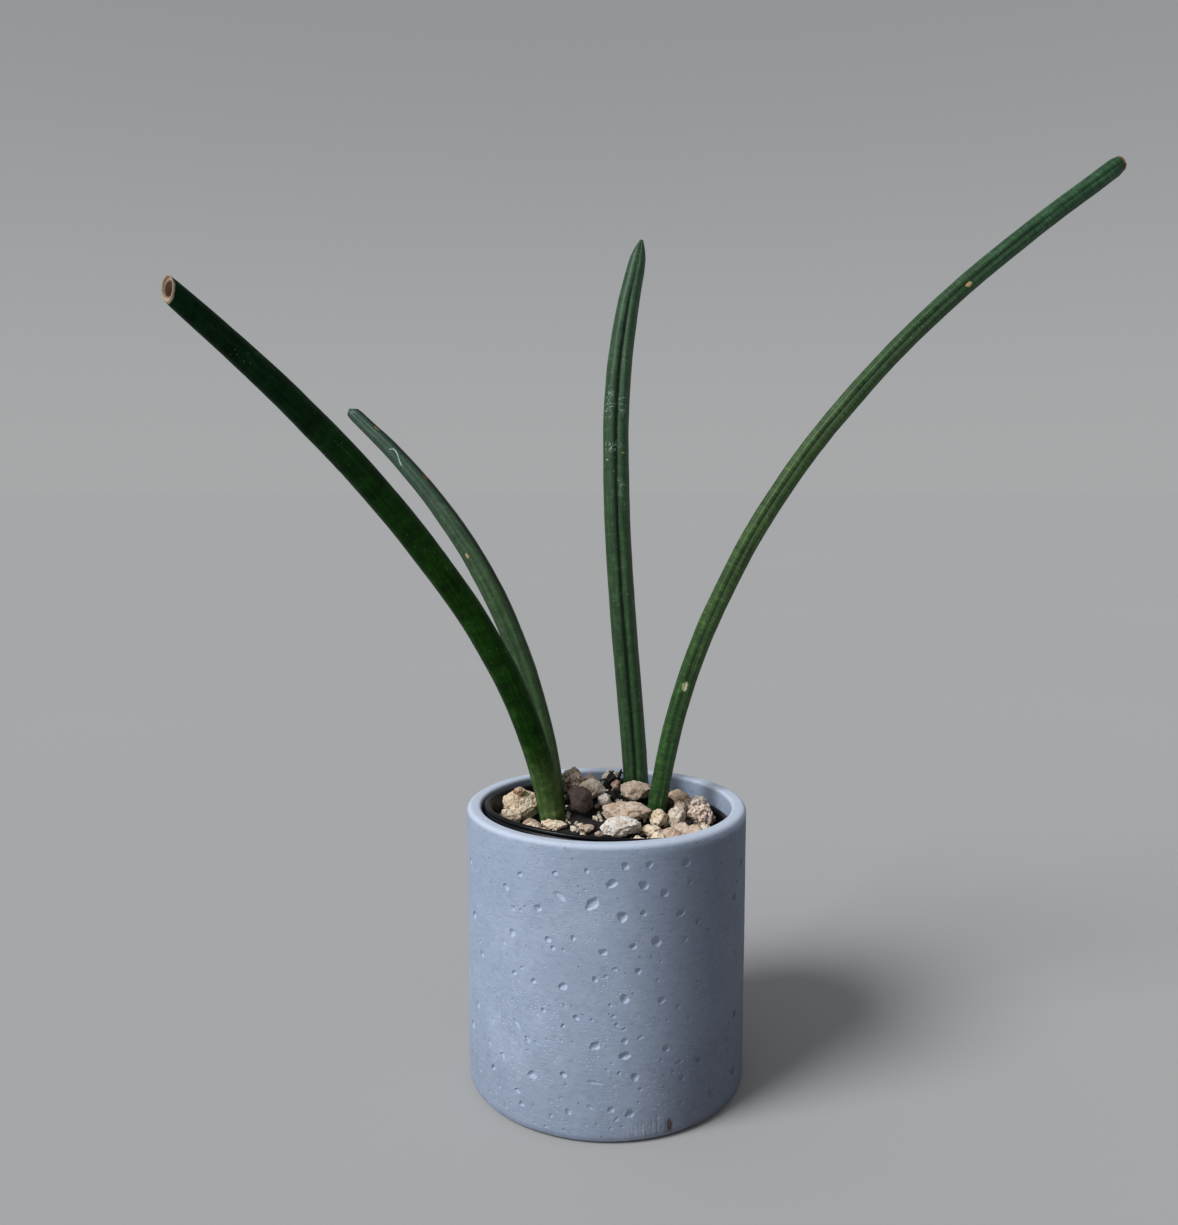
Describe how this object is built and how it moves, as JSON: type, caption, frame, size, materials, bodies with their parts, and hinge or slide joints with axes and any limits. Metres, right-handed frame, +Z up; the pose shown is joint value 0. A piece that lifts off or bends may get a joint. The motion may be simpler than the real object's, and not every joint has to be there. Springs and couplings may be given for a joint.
{
  "type": "potted cylindrical snake plant",
  "caption": "Cylindrical snake plant with long rounded leaves, in a black nursery liner with a stone dressing, set in a pitted grey concrete cover pot",
  "frame": {"origin": "Centre of the cover pot's flat underside, on the surface that it stands on.", "axes": "+Z up along the pot's axis. +X to the right and -Y towards the viewer, as the plant is seen in the picture."},
  "size_m": [0.3715, 0.1645, 0.3962],
  "materials": {
    "concrete": "matt, fine brushed grain with air-bubble pits",
    "black_plastic": "satin",
    "potting_soil": "crumbly",
    "leaf_front_left_skin": "waxy, faintly banded",
    "leaf_back_left_skin": "waxy",
    "leaf_centre_skin": "waxy, furrowed, with pale flecks",
    "leaf_right_skin": "waxy, furrowed",
    "stone_beige": "porous",
    "stone_cream": "porous",
    "stone_white": "porous",
    "stone_pink": "porous",
    "stone_brown": "porous",
    "stone_rust": "porous",
    "stone_bark": "rough",
    "stone_black": "rough"
  },
  "bodies": {
    "root": {"cover_pot": "concrete", "nursery_liner": "black_plastic", "soil": "potting_soil", "leaf_front_left": "leaf_front_left_skin", "leaf_back_left": "leaf_back_left_skin", "leaf_centre": "leaf_centre_skin", "leaf_right": "leaf_right_skin", "bark_black": "stone_black", "bark_chunk": "stone_bark", "bark_dark": "stone_bark", "bark_shard": "stone_brown", "bark_stick": "stone_black", "stone_back_right": "stone_beige", "stone_big_brown_pink": "stone_pink", "stone_cream_crumb": "stone_cream", "stone_cream_pitted": "stone_cream", "stone_flat_grey": "stone_beige", "stone_flat_tan": "stone_beige", "stone_large_beige": "stone_beige", "stone_orange_top": "stone_rust", "stone_pale_pink": "stone_cream", "stone_pale_yellow": "stone_white", "stone_pink_long": "stone_pink", "stone_pink_tan": "stone_pink", "stone_porous_brown": "stone_brown", "stone_round_beige": "stone_beige", "stone_small_pinkish": "stone_pink", "stone_tan_porous": "stone_brown", "stone_white_porous": "stone_white", "stone_filler_01": "stone_brown", "stone_filler_02": "stone_cream", "stone_filler_03": "stone_pink", "stone_filler_04": "stone_pink", "stone_filler_05": "stone_beige", "stone_filler_06": "stone_beige", "stone_filler_07": "stone_brown", "stone_filler_08": "stone_beige", "stone_filler_09": "stone_beige", "stone_filler_10": "stone_pink", "stone_filler_11": "stone_cream", "stone_filler_12": "stone_beige", "stone_filler_13": "stone_brown", "stone_filler_14": "stone_beige", "stone_filler_15": "stone_beige", "stone_filler_16": "stone_beige", "stone_filler_17": "stone_pink", "stone_filler_18": "stone_beige", "stone_filler_19": "stone_beige", "stone_filler_20": "stone_brown", "stone_filler_21": "stone_brown", "stone_filler_22": "stone_beige", "stone_filler_23": "stone_brown", "stone_filler_24": "stone_beige", "stone_filler_25": "stone_brown", "stone_filler_26": "stone_pink", "stone_filler_27": "stone_beige", "stone_filler_28": "stone_beige", "stone_filler_29": "stone_brown", "stone_filler_30": "stone_pink"}
  },
  "joints": []
}
